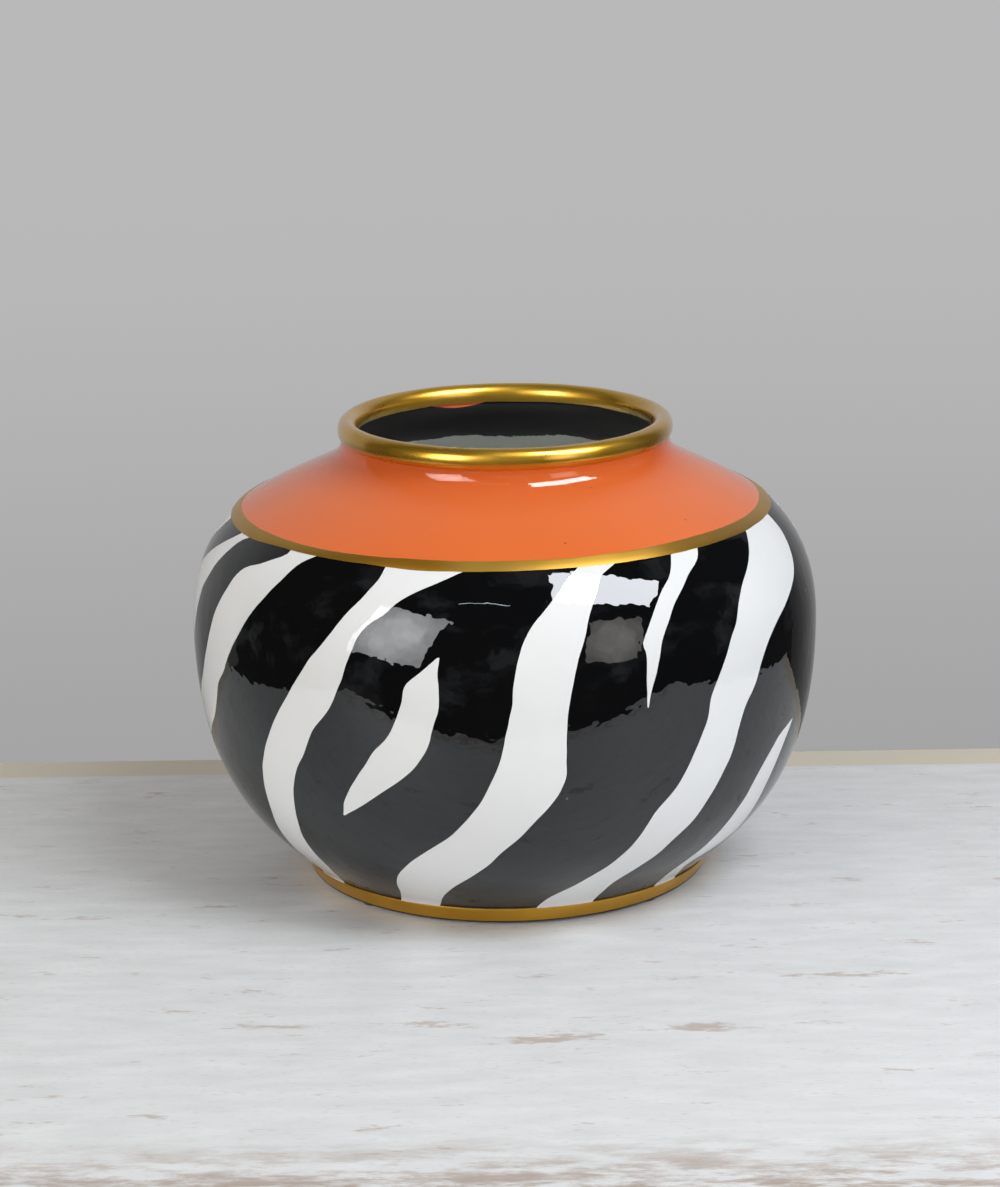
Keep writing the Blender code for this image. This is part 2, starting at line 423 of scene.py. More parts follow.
# Height in millimetres, then the angles of the stripe's left and right edge there, from the top down.
STRIPES = {
    "left_edge": [
        (168, -67, -62.5), (166, -68.5, -63.8), (163, -70.9, -67), (158, -75.3, -69.4),
        (152, -80.2, -71.7), (144, -85.3, -73.8), (139, -88.4, -75.2), (131, -92, -76.4),
        (121, -95, -78.4), (110, -98, -82), (98, -102, -88), (85, -107, -95), (70, -113, -102),
        (55, -119, -109), (42, -124, -115), (28, -129, -120), (16, -133, -124), (8.6, -136, -126),
    ],
    "left": [
        (168, -48.2, -39.5), (166, -48.5, -41.1), (164, -49.1, -43.1), (162, -51.3, -44.3),
        (158, -55.7, -45.8), (156, -58.6, -46.4), (151, -61, -48.2), (146, -62.1, -49.9),
        (140, -63.5, -51.9), (133, -65, -53.8), (121, -67, -57.3), (111, -69.5, -60), (103, -71.7, -63),
        (95, -75, -64.6), (85, -79.5, -67.7), (75, -84, -73.5), (65, -89, -79), (52, -94, -85),
        (38, -99, -91), (25, -103, -96), (14, -106, -99), (8.6, -107, -100),
    ],
    "front_left": [
        (168, -23.5, -5), (166, -24, -8), (162, -24.5, -12.5), (158, -25.8, -16.8), (154, -27, -19.8),
        (149, -29, -22), (145, -30.3, -24.5), (141, -31.5, -26), (136, -33, -27), (127, -36, -28.3),
        (119, -38.3, -29.5), (108, -41.5, -31.7), (97, -44.7, -35.5), (86, -47.5, -38), (75, -50, -41),
        (64, -51.6, -43), (51, -53, -44.7), (40, -55, -46.2), (31, -56.2, -46.7), (22, -57.9, -47),
        (14, -59.5, -49), (8.6, -61.5, -50.7),
    ],
    "front_leaf": [
        (134, -11.6, -11.2), (128, -14.4, -11.5), (122, -17.1, -11.4), (114, -17.9, -11.3),
        (105, -19.3, -12.4), (98, -20.9, -13.2), (92, -23.3, -14.3), (85, -25.3, -16.5),
        (79, -27.2, -19.3), (72, -29.2, -23.3), (66, -30.7, -26.7), (59, -31.7, -31.3),
    ],
    "front": [
        (168, 15.5, 24), (166, 14.5, 22), (163, 12.2, 19), (158, 9.9, 17.5), (153, 7.6, 16),
        (147, 5, 14.7), (141, 3.3, 13.9), (133, 2.1, 12.5), (123, 1.3, 11.4), (113, 0.9, 10.6),
        (102, -0.1, 10.2), (90, -1.2, 10.2), (80, -2.9, 10), (71, -4.8, 8.1), (62, -7.6, 5),
        (54, -10.8, 2.2), (47, -14.8, -0.9), (38, -20, -4.5), (31, -23.4, -8.2), (23, -26.2, -13),
        (16, -27.6, -16.2), (8.6, -30, -18.7),
    ],
    "front_drip": [
        (168, 36, 43.2), (163, 34.3, 41), (159, 32.7, 37.5), (155, 30.2, 35), (149, 27.8, 31.8),
        (142, 25.7, 29.6), (136, 24.3, 28), (132, 24.7, 27.5), (124, 24.6, 26.5), (116, 24.5, 25.4),
        (109, 24.7, 24.8),
    ],
    "right": [
        (169, 61, 76.5), (167, 60.4, 75.7), (161, 56.8, 75.3), (155, 52.7, 73.5), (150, 49.2, 71.5),
        (144, 46.7, 68), (136, 44.7, 61), (131, 43, 56.8), (123, 41.2, 52.6), (114, 39, 50.3),
        (107, 37.7, 48.8), (100, 37.3, 46.6), (91, 35.9, 45.2), (80, 33.9, 44.1), (70, 31.7, 42.3),
        (60, 28.2, 40.2), (50, 26.2, 37.7), (43, 24.5, 34.8), (35, 21.4, 31.8), (28, 17.6, 27.8),
        (22, 13.9, 24.9), (16, 9.9, 23.6), (8.6, 7.2, 22.7),
    ],
    "right_crescent": [
        (82, 65.3, 65.3), (78, 60.3, 64.5), (73, 57.8, 63.2), (64, 54.7, 61.7), (53, 52.7, 60.6),
        (40, 50, 60.5), (31, 47.7, 60), (26, 45.7, 56), (23, 44.5, 50.5), (19, 43.2, 48),
        (14, 42.9, 49.3), (8.6, 43, 51.5),
    ],
    "right_edge": [
        (168, 97, 113), (161, 94, 112), (150, 92, 109), (138, 91, 105), (122, 90, 101), (108, 88, 99),
        (95, 86.5, 97), (80, 84, 94), (64, 81, 90), (48, 77.5, 86), (34, 74, 82), (20, 70, 79),
        (8.6, 67, 77),
    ],
    "back_right_drip": [
        (168, 124, 133), (158, 121, 130), (148, 118, 126), (138, 116.5, 123), (128, 116, 121),
        (118, 115.5, 118.5), (110, 115, 115),
    ],
    "back_right": [
        (168, 146, 164), (160, 143, 161), (150, 139, 157), (140, 136, 154), (128, 133, 151),
        (115, 130, 149), (102, 127, 147), (90, 124, 143), (78, 120, 138), (66, 116, 132),
        (54, 112, 126), (42, 107.5, 121), (30, 103, 117), (20, 99, 114), (8.6, 95, 111),
    ],
    "back_leaf": [
        (128, 172, 172), (118, 166, 173), (108, 163, 172.5), (98, 160.5, 171), (88, 158, 169),
        (78, 155, 165), (68, 151.5, 160), (58, 147.5, 154), (50, 146, 146),
    ],
    "back": [
        (168, 187, 205), (160, 185, 201), (150, 184, 197), (140, 182, 194), (128, 180, 191),
        (115, 179, 190), (102, 177.5, 188), (90, 175.5, 186), (78, 173, 183), (66, 170, 180),
        (54, 166, 176), (42, 162, 172), (30, 158, 169), (20, 153, 166), (8.6, 150, 163),
    ],
    "back_drip": [
        (168, 217, 224), (158, 215, 222), (148, 212, 220), (138, 210, 217), (128, 208.5, 214),
        (118, 208, 212), (110, 208, 208),
    ],
    "back_left": [
        (168, 236, 252), (160, 234, 252), (150, 231, 251), (140, 227, 247), (128, 223, 242),
        (115, 219, 237), (102, 215, 232), (90, 211, 229), (78, 206, 225), (66, 201, 220),
        (54, 196, 214), (42, 191, 207), (30, 187, 201), (20, 184, 197), (8.6, 181, 195),
    ],
    "back_crescent": [
        (88, 240, 240), (76, 232, 239), (64, 226, 236), (52, 221, 231), (40, 217, 226), (28, 213, 221),
        (18, 209, 216), (8.6, 206, 214),
    ],
    "back_left_drip": [
        (168, 268, 278), (158, 264, 273.5), (148, 261, 268), (138, 258, 263), (128, 255.5, 259),
        (120, 254, 254),
    ],
}


def stroke_edge(stations, side, height):
    """The angle of a stripe's edge at a height in millimetres, on a smooth curve through its stations."""
    after = next(i for i, station in enumerate(stations) if station[0] <= height + 1e-6)
    after = max(after, 1)
    top, bottom = stations[after - 1], stations[after]
    above = stations[max(after - 2, 0)]
    below = stations[min(after + 1, len(stations) - 1)]
    drop = bottom[0] - top[0]
    top_slope = (bottom[side] - above[side]) / (bottom[0] - above[0]) * drop
    bottom_slope = (below[side] - top[side]) / (below[0] - top[0]) * drop
    t = (height - top[0]) / drop
    return (
        (2 * t**3 - 3 * t**2 + 1) * top[side] + (t**3 - 2 * t**2 + t) * top_slope
        + (3 * t**2 - 2 * t**3) * bottom[side] + (t**3 - t**2) * bottom_slope
    )


def brush_stripe(form, stations, seed):
    """Lays one stripe on the outside as a grid that is as wide as its stations say. Its left edge is number 1
    of a station and its right one number 2, and each has its own strand of noise."""
    edges = ((1, 0), (2, 9))
    top, bottom = stations[0][0] / 1000, stations[-1][0] / 1000
    widest = max(math.radians(right - left) * radius_on(outside, h / 1000) for h, left, right in stations)
    rows = round((top - bottom) / ROW)
    columns = max(round(widest / COLUMN), FEWEST_COLUMNS)
    grid = bmesh.ops.create_grid(form, x_segments=columns, y_segments=rows, size=0.5)
    for vert in grid["verts"]:
        across, down = vert.co.x + 0.5, 0.5 - vert.co.y
        height = top + (bottom - top) * down
        wander = math.degrees(BRUSH_WANDER / radius_on(outside, height))
        left, right = (
            stroke_edge(stations, side, height * 1000)
            + wander * noise.noise(Vector((height * WANDER_SCALE, seed, strand)))
            for side, strand in edges
        )
        right = max(right, left)
        angle = math.radians(left + (right - left) * across)
        radius, height = on_skin(height, PROUD)
        vert.co = radius * math.sin(angle), -radius * math.cos(angle), height


white_glaze, tree, shader, skin, laid = new_glaze(
    "white_glaze", deep=(0.70, 0.705, 0.70, 1), pale=(0.78, 0.785, 0.785, 1), ripple_scale=210.0
)
fire_glaze(
    tree, shader, skin, laid, speck=(0.16, 0.14, 0.12, 1), smooth=0.02, rough=0.05, bumps=0.00008
)

form = bmesh.new()
for seed, stations in enumerate(STRIPES.values()):
    brush_stripe(form, stations, seed)
stripes = finish_piece("white_stripes", form, white_glaze)
depth = stripes.modifiers.new("Glaze depth", "SOLIDIFY")
depth.thickness = BRUSH_DEPTH
depth.offset = -1
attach(stripes, "root")

# Foot ring.
# A low ring turned on under the bowl, leaning out as it rises. Its outside is brushed with gold lustre up to
# an uneven edge under the bowl, and its underside is wiped bare. Its rounded lower edge is painted nearly
# black, as painted shade of the thin gap under the foot.

FOOT_LOW_RADIUS = 0.0907
FOOT_WIDTH = 0.014
FOOT_EDGE_ROUND = 0.0009
FOOT_EDGE_POINTS = 7
foot_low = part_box("foot_ring")[0].z

# How far gold lustre stands out of the clay and how far its edge sinks in. The clay meets the bowl this far
# inside the foot's top edge.
GOLD_PROUD = 0.00018
GOLD_SINK = 0.00030
GOLD_BACK = 0.0015


def arc(centre, half_width, half_height, first, last, points):
    """Points on an ellipse, from one angle to another."""
    turned = [math.radians(first + (last - first) * i / (points - 1)) for i in range(points)]
    return [
        Vector((centre[0] + half_width * math.cos(a), centre[1] + half_height * math.sin(a))) for a in turned
    ]


def drift(x, y, seed, spread=2.2):
    """A slow wander, mostly between -1 and 1, round the vase, with a quicker one on it."""
    angle = math.atan2(y, x)
    slow = noise.noise(Vector((spread * math.cos(angle), spread * math.sin(angle), seed)))
    quick = noise.noise(Vector((6 * spread * math.cos(angle), 6 * spread * math.sin(angle), seed + 5)))
    return 1.5 * slow + 0.5 * quick


# A brush leaves gold lustre in fine streaks that follow its way round the pot.
STREAK_SCALE = 28.0
STREAK_SQUEEZE = (1, 1, 9)
GOLD_CLOUD_SCALE = 22.0

brushed, _, given = new_group("brushed streaks", [], ["Streak", "Cloud"])
where = put(brushed, "ShaderNodeTexCoord").outputs["Object"]
drawn = put(brushed, "ShaderNodeMapping", {"Vector": where, "Scale": STREAK_SQUEEZE}).outputs[0]
streak = mottle(brushed, drawn, STREAK_SCALE, detail=2.0)
cloud = mottle(brushed, where, GOLD_CLOUD_SCALE, detail=2.0)
brushed.links.new(steps(brushed, streak, *WIDE), given.inputs["Streak"])
brushed.links.new(steps(brushed, cloud, *NARROW), given.inputs["Cloud"])


def gold_lustre(name, metallic, coat, deep, bright, smooth, rough, grain):
    """Gold lustre between two colours and two roughnesses. The coat is how much of the glaze shines through
    it, and the grain how deep its streaks are."""
    streak_share = 0.4
    material, tree, shader = new_finish(name, metallic=metallic)
    strokes = put(tree, "ShaderNodeGroup", node_tree=brushed)
    tree.links.new(blend(tree, strokes.outputs["Cloud"], deep, bright), shader.inputs["Base Color"])
    mixed = maths(tree, "MULTIPLY_ADD", strokes.outputs["Streak"], streak_share, strokes.outputs["Cloud"])
    tree.links.new(steps(tree, mixed, 0.0, 1 + streak_share, smooth, rough), shader.inputs["Roughness"])
    raise_bumps(tree, shader, strokes.outputs["Streak"], grain)
    shader.inputs["Coat Weight"].default_value = coat
    shader.inputs["Coat Roughness"].default_value = 0.15
    return material


foot_gold = gold_lustre(
    "foot_gold_lustre", metallic=0.75, coat=0.15, deep=(0.46, 0.235, 0.014, 1),
    bright=(0.56, 0.30, 0.022, 1), smooth=0.30, rough=0.42, grain=0.000010,
)

# Painted shade: the foot's rounded lower edge is coloured nearly black for the shadow of the gap under the
# foot.
# It is too dark for specks to show on it.
foot_edge_shade, tree, shader, skin, painted_edge_shade = new_glaze(
    "painted_shade_foot_edge", deep=(0.012, 0.008, 0.005, 1), pale=(0.030, 0.020, 0.012, 1),
    ripple_scale=600.0, speck_scale=140.0,
)
shader.inputs["Roughness"].default_value = 0.8
tree.links.new(painted_edge_shade, shader.inputs["Base Color"])
raise_bumps(tree, shader, skin.outputs["Height"], depth=0.00004)

round_height = foot_low + FOOT_EDGE_ROUND
low_outer = arc(
    (FOOT_LOW_RADIUS - FOOT_EDGE_ROUND, round_height), FOOT_EDGE_ROUND, FOOT_EDGE_ROUND, -90, 0,
    FOOT_EDGE_POINTS,
)
low_inner = arc(
    (FOOT_LOW_RADIUS - FOOT_WIDTH + FOOT_EDGE_ROUND, round_height), FOOT_EDGE_ROUND, FOOT_EDGE_ROUND,
    -180, -90, FOOT_EDGE_POINTS,
)

# How far each point of the gold's upper edge lies below the foot's top, and how far it stands out. The points
# between the two drops of the edge's wander go up and down with it.
GOLD_LIP = (
    (0.0016, 0.0),
    (0.0010, GOLD_PROUD),
    (0.0004, GOLD_PROUD),
    (0.0003, 0.8 * GOLD_PROUD),
    (0.0003, -GOLD_SINK),
)
FOOT_WANDER = 0.00025
FOOT_WANDER_DROPS = (0.0001, 0.0005)
FOOT_SEED = 3

lip = [Vector((bowl_foot_radius + proud, foot_top - drop)) for drop, proud in GOLD_LIP]
gold_run = [low_outer[-1], *lip]
bare_run = [
    lip[-1], Vector((bowl_foot_radius - GOLD_BACK, foot_top)),
    Vector((FOOT_LOW_RADIUS - FOOT_WIDTH, foot_top)), *low_inner, low_outer[0],
]

form = bmesh.new()
throw(form, gold_run, finish=0)
throw(form, bare_run, finish=1)
# The rounded lower edge takes the painted shade.
throw(form, low_outer, finish=2)
for vert in form.verts:
    if FOOT_WANDER_DROPS[0] < foot_top - vert.co.z < FOOT_WANDER_DROPS[1]:
        vert.co.z += FOOT_WANDER * drift(vert.co.x, vert.co.y, FOOT_SEED)
foot = finish_piece("gold_foot_ring", form, foot_gold, bare_clay, foot_edge_shade)
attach(foot, "root")
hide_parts("foot_ring")

# Felt pads.
# Small discs of grey felt are glued under the foot ring so that the clay doesn't scratch a table. They lift
# the vase by their own thickness, which shows as a thin dark gap.

FELT_EDGE = 0.00035
FLUFF_SCALE = 1800.0
FELT_DEEP = (0.035, 0.032, 0.030, 1)
FELT_PALE = (0.10, 0.095, 0.088, 1)
FELT_ROUGHNESS = (0.88, 1.0)

felt, tree, shader = new_finish("grey_felt")
where = put(tree, "ShaderNodeTexCoord").outputs["Object"]
fluff = mottle(tree, where, FLUFF_SCALE, detail=4.0, roughness=0.7)
tree.links.new(blend(tree, fluff, FELT_DEEP, FELT_PALE), shader.inputs["Base Color"])
tree.links.new(steps(tree, fluff, *WIDE, *FELT_ROUGHNESS), shader.inputs["Roughness"])
raise_bumps(tree, shader, fluff, depth=0.00012)
shader.inputs["Sheen Weight"].default_value = 0.3

for number in range(1, 5):
    low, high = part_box(f"felt_pad_{number}")
    form = bmesh.new()
    bmesh.ops.create_cone(
        form, cap_ends=True, segments=48, radius1=(high.x - low.x) / 2, radius2=(high.x - low.x) / 2,
        depth=high.z - low.z, matrix=Matrix.Translation((low + high) / 2),
    )
    rims = [edge for edge in form.edges if edge.calc_face_angle() > CREASE]
    bmesh.ops.bevel(
        form, geom=rims, offset=FELT_EDGE, segments=3, profile=0.5, affect="EDGES", material=-1
    )
    pad = finish_piece(f"felt_disc_{number}", form, felt)
    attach(pad, "root")
    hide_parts(f"felt_pad_{number}")

# Gold line.
# Where the bowl turns in to the shoulder, the wall has a soft edge. Gold lustre is brushed along it on the
# wheel, a little unevenly, so that it laps over the black below and the orange above.

LINE_LAP = 0.00003
LINE_CROWN = 0.00006
LINE_ROWS = 14
LINE_BACK = 0.0012

line_gold = gold_lustre(
    "line_gold_lustre", metallic=0.9, coat=0.3, deep=(0.51, 0.275, 0.028, 1),
    bright=(0.62, 0.370, 0.058, 1), smooth=0.42, rough=0.52, grain=0.000008,
)
tree = line_gold.node_tree
shader = tree.nodes["Principled BSDF"]
shader.inputs["Anisotropic"].default_value = 0.62
shader.inputs["Anisotropic Rotation"].default_value = 0.25

# The gold is painted darker along a stretch on the left of the front: painted shade, for the dim light that
# the lustre mirrors there. The darkening fades out between two places across on each side, and between two
# places back.
SHADED_FROM = (-0.095, -0.055)
SHADED_TO = (-0.012, -0.035)
SHADED_IN_FRONT = (0.0, -0.02)
SHADED_GOLD = (0.40, 0.19, 0.012, 1)

where = put(tree, "ShaderNodeTexCoord").outputs["Object"]
place = put(tree, "ShaderNodeSeparateXYZ", {"Vector": where})
across, back = place.outputs["X"], place.outputs["Y"]
shaded_stretch = maths(tree, "MULTIPLY", steps(tree, across, *SHADED_FROM), steps(tree, across, *SHADED_TO))
shaded_stretch = maths(tree, "MULTIPLY", shaded_stretch, steps(tree, back, *SHADED_IN_FRONT))
full_gold = shader.inputs["Base Color"].links[0].from_socket
tree.links.new(blend(tree, shaded_stretch, full_gold, SHADED_GOLD), shader.inputs["Base Color"])

low, high = line_low - LINE_LAP, line_high + LINE_LAP
lap = []
for row in range(LINE_ROWS + 1):
    crown = LINE_CROWN * math.sin(math.pi * row / LINE_ROWS)
    lap.append(on_skin(low + (high - low) * row / LINE_ROWS, GOLD_PROUD + crown))
back_of_lap = [
    on_skin(high, -GOLD_SINK), Vector((line_high_radius - LINE_BACK, line_high)),
    *between(inside, line_low, line_high)[::-1], Vector((line_low_radius - LINE_BACK, line_low)),
    on_skin(low, -GOLD_SINK),
]

# The brush wavered by this much, set the whole line's upper edge lower and a little lower still per metre to
# the right, and pinched its lower edge upwards between two stretches of angles.
LINE_WANDER = 0.00028
LINE_LOW_SEED = 11
LINE_HIGH_SEED = 17
LINE_DROP = 0.00033
LINE_DROP_ACROSS = 0.0028
LINE_PINCH = 0.0008
PINCH_GROWS = (-66, -52)
PINCH_FADES = (-30, -14)
LUSTRE_DEPTH = 0.0006

form = bmesh.new()
throw(form, [*lap, back_of_lap[0]], finish=0)
throw(form, back_of_lap, finish=1)
throw(form, [back_of_lap[-1], lap[0]], finish=0)
for vert in form.verts:
    x, y, z = vert.co
    if math.hypot(x, y) > radius_on(outside, z) - LUSTRE_DEPTH:
        share = (z - low) / (high - low)
        lower = drift(x, y, LINE_LOW_SEED)
        upper = drift(x, y, LINE_HIGH_SEED)
        angle = math.degrees(math.atan2(x, -y))
        pinched = ease(angle, *PINCH_GROWS) * (1 - ease(angle, *PINCH_FADES))
        lift = LINE_WANDER * (lower * (1 - share) + upper * share) + LINE_PINCH * pinched * (1 - share)
        lift -= share * (LINE_DROP + LINE_DROP_ACROSS * x)
        grown = radius_on(outside, z + lift) - radius_on(outside, z)
        vert.co += Vector((x, y, 0)).normalized() * grown + Vector((0, 0, lift))
fire(form)
line = finish_piece("gold_shoulder_line", form, line_gold, grey_glaze)
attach(line, "root")
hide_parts("shoulder_line")

# Shoulder and neck.
# The wall slopes in from the gold line and turns up into a very short neck. Outside it carries opaque orange
# glaze. Inside, the glazer ran black round the throat, down to a ragged edge over the grey.

orange_glaze, tree, shader, skin, poured = new_glaze(
    "orange_glaze", deep=(0.65, 0.135, 0.030, 1), pale=(0.71, 0.152, 0.037, 1), ripple_scale=200.0
)

# Towards the neck the orange is painted deeper in colour: painted shade, standing in for the shade under the
# rim.
NECK_SHADE_GROWS = (0.180, 0.194)
NECK_SHADED_ORANGE = (0.57, 0.105, 0.022, 1)

where = put(tree, "ShaderNodeTexCoord").outputs["Object"]
up = put(tree, "ShaderNodeSeparateXYZ", {"Vector": where}).outputs["Z"]
poured = blend(tree, steps(tree, up, *NECK_SHADE_GROWS), poured, NECK_SHADED_ORANGE)
fire_glaze(
    tree, shader, skin, poured, speck=(0.25, 0.05, 0.02, 1), smooth=0.03, rough=0.07, bumps=0.00008
)

# The black's lower edge in the throat: its mean height, how far it rises and falls, how fast, and its fuzz.
THROAT_EDGE = 0.1804
THROAT_RAG = 0.010
THROAT_RAG_SCALE = 55.0
THROAT_FUZZ = 0.00015
THROAT_BLACK = (0.0042, 0.0042, 0.0045, 1)
THROAT_SPECK = (0.10, 0.10, 0.09, 1)
THROAT_ROUGHNESS = (0.48, 0.58)

# This grey is a little paler than the bowl's inside grey: painted light, lifting the throat, which little
# light reaches.
throat_glaze, tree, shader, skin, thin_grey = new_glaze(
    "throat_glaze", deep=(0.86, 0.89, 0.85, 1), pale=(0.93, 0.95, 0.91, 1),
    ripple_scale=130.0, speck_scale=60.0,
)
where = put(tree, "ShaderNodeTexCoord").outputs["Object"]
place = put(tree, "ShaderNodeSeparateXYZ", {"Vector": where})
across, back, up = place.outputs["X"], place.outputs["Y"], place.outputs["Z"]
ragged = mottle(tree, where, THROAT_RAG_SCALE, detail=5.0, roughness=0.6)
edge = maths(tree, "MULTIPLY_ADD", ragged, THROAT_RAG, THROAT_EDGE - THROAT_RAG / 2)
black_here = steps(tree, maths(tree, "SUBTRACT", up, edge), -THROAT_FUZZ, THROAT_FUZZ)
colour = blend(tree, black_here, thin_grey, THROAT_BLACK)

# A dab of orange ran over the lip at the back, deepest a little to the left. Its lower edge is bowed.
DAB_MIDDLE = -0.020
DAB_BOW = -14.0
DAB_EDGE = (0.1972, 0.1974)
DAB_AT_BACK = (0.0, 0.01)
DAB_ORANGE = (0.60, 0.12, 0.03, 1)

sideways = maths(tree, "SUBTRACT", across, DAB_MIDDLE)
bowed = maths(tree, "MULTIPLY_ADD", maths(tree, "MULTIPLY", sideways, sideways), DAB_BOW, up)
dab = maths(tree, "MULTIPLY", steps(tree, bowed, *DAB_EDGE), steps(tree, back, *DAB_AT_BACK))
colour = blend(tree, dab, colour, DAB_ORANGE)
tree.links.new(blend(tree, skin.outputs["Speck"], colour, THROAT_SPECK), shader.inputs["Base Color"])
tree.links.new(steps(tree, black_here, 0.0, 1.0, *THROAT_ROUGHNESS), shader.inputs["Roughness"])
raise_bumps(tree, shader, skin.outputs["Height"], depth=0.00005)
shader.inputs["Specular IOR Level"].default_value = 0.3

# The orange runs on this far behind the gold line.
ORANGE_BEHIND_LINE = 0.0014

orange_run = between(outside, line_high - ORANGE_BEHIND_LINE, neck_top)
throat_run = between(inside, line_high, neck_top)

form = bmesh.new()
throw(form, orange_run, finish=0)
throw(form, [orange_run[-1], throat_run[-1]], finish=1)
throw(form, throat_run, finish=1)
throw(form, [orange_run[0], throat_run[0]], finish=1)
fire(form)
shoulder = finish_piece("orange_shoulder", form, orange_glaze, throat_glaze)
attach(shoulder, "root")
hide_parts("shoulder", "neck_collar")

# Rolled rim.
# The lip is rolled over into a fat bead, a little taller than it is wide, and brushed all over with gold
# lustre. It is rolled by hand, so it is nowhere quite round.

rim_low, rim_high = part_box("rolled_rim")
rim_middle = NECK_RADIUS - WALL / 2
rim_half_width = rim_high.x - rim_middle
seat_angle = math.degrees(math.acos(min(WALL / 2 / rim_half_width, 1.0)))
rim_half_height = (rim_high.z - neck_top) / (1 + math.sin(math.radians(seat_angle)))
rim_centre = (rim_middle, rim_high.z - rim_half_height)

rim_gold = gold_lustre(
    "rim_gold_lustre", metallic=0.88, coat=1.0, deep=(0.60, 0.325, 0.014, 1),
    bright=(0.73, 0.42, 0.038, 1), smooth=0.25, rough=0.36, grain=0.000003,
)

# The gold ends inside the mouth, this far up the bead, in an edge that wanders round the vase.
BEAD_POINTS = 57
GOLD_END = 0.0008
GOLD_END_WANDER = 0.00035
GOLD_END_SPREAD = 4
GOLD_END_SEED = 31

# How far the bead swells and lifts by hand, from its seat up to a height above it.
RIM_LOOSENS = 0.004
RIM_SWELL = 0.00022
RIM_LIFT = 0.00018
RIM_SPREAD = 1.2
RIM_SWELL_SEED = 23
RIM_LIFT_SEED = 29

bead = arc(rim_centre, rim_half_width, rim_half_height, 180 + seat_angle, -seat_angle, BEAD_POINTS)
bead[0].y = bead[-1].y = neck_top
gold_end = next(i for i, point in enumerate(bead) if point.y > neck_top + GOLD_END)

form = bmesh.new()
throw(form, bead[:gold_end + 1], finish=1)
throw(form, bead[gold_end:], finish=0)
throw(form, [bead[-1], bead[0]], finish=1)
for vert in form.verts:
    radius = math.hypot(vert.co.x, vert.co.y)
    if radius < rim_middle and abs(vert.co.z - bead[gold_end].y) < SEAM:
        vert.co.z += GOLD_END_WANDER * drift(vert.co.x, vert.co.y, GOLD_END_SEED, GOLD_END_SPREAD)
        inward = math.sqrt(1 - ((vert.co.z - rim_centre[1]) / rim_half_height) ** 2)
        grown = (rim_middle - rim_half_width * inward) / radius
        vert.co.x, vert.co.y = vert.co.x * grown, vert.co.y * grown
    loose = ease(vert.co.z, neck_top, neck_top + RIM_LOOSENS)
    outward = Vector((vert.co.x, vert.co.y, 0)).normalized()
    vert.co += outward * RIM_SWELL * loose * drift(vert.co.x, vert.co.y, RIM_SWELL_SEED, RIM_SPREAD)
    vert.co.z += RIM_LIFT * loose * drift(vert.co.x, vert.co.y, RIM_LIFT_SEED, RIM_SPREAD)
fire(form)
rim = finish_piece("gold_rolled_rim", form, rim_gold, throat_glaze)
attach(rim, "root")
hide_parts("rolled_rim")

# Table top and room.
# The vase stands on a pale painted board against a pale grey wall, in a room that is dark behind the camera,
# so that the black glaze stays black between the lamps that it mirrors.

# The board's ends, with a bare strip along its back end, its half length and its thickness.
BOARD_FRONT = -0.352
BOARD_BACK = 0.147
BOARD_STRIP = 0.024
STRIP_EDGE = 0.001
BOARD_HALF_LENGTH = 0.45
BOARD_THICKNESS = 0.022

# The grain runs across. Along it the paint fades in clouds, shows fine grey lines and is scuffed to the wood.
# Each pair of numbers is where in the noise that begins and where it is full.
GRAIN_SQUEEZE = (5, 18, 5)
FADE_SCALE = 6.0
FINE_SCALE = 45.0
SCUFF_SCALE = 5.0
GRAIN_SHOWS = (0.55, 0.75)
GRAIN_STRENGTH = 0.5
SCUFF_SHOWS = (0.67, 0.79)
SCUFF_STRENGTH = 0.85
WOOD_SHOWS = (0.42, 0.60)
PAINT_DEEP = (0.565, 0.574, 0.578, 1)
PAINT_PALE = (0.79, 0.797, 0.800, 1)
GRAIN_GREY = (0.50, 0.505, 0.51, 1)
SCUFF_BROWN = (0.46, 0.38, 0.33, 1)
BARE_BROWN = (0.38, 0.30, 0.25, 1)
STRIP_CREAM = (0.64, 0.58, 0.47, 1)

board_paint, tree, shader = new_finish("pale_board_paint", roughness=0.55)
where = put(tree, "ShaderNodeTexCoord").outputs["Object"]
place = put(tree, "ShaderNodeSeparateXYZ", {"Vector": where})
across, back = place.outputs["X"], place.outputs["Y"]
grain = put(tree, "ShaderNodeMapping", {"Vector": where, "Scale": GRAIN_SQUEEZE}).outputs[0]
faded = mottle(tree, grain, FADE_SCALE, detail=5.0)
fine = mottle(tree, grain, FINE_SCALE, detail=3.0)
scuffs = mottle(tree, grain, SCUFF_SCALE, detail=6.0, roughness=0.7)
painted = blend(tree, faded, PAINT_DEEP, PAINT_PALE)
painted = blend(tree, steps(tree, fine, *GRAIN_SHOWS, 0.0, GRAIN_STRENGTH), painted, GRAIN_GREY)

# The paint is scuffed most in a few long streaks. Each has its left and right end, its distance back and half
# its width, and is full over a part of its length.
STREAKS = (
    (0.030, 0.190, -0.152, 0.007),
    (-0.130, 0.010, -0.199, 0.006),
    (-0.030, 0.060, -0.214, 0.008),
    (0.010, 0.150, -0.204, 0.010),
)
STREAK_FULL = 0.4
STREAK_SCUFFING = 0.13
FINE_SCUFFING = 0.16

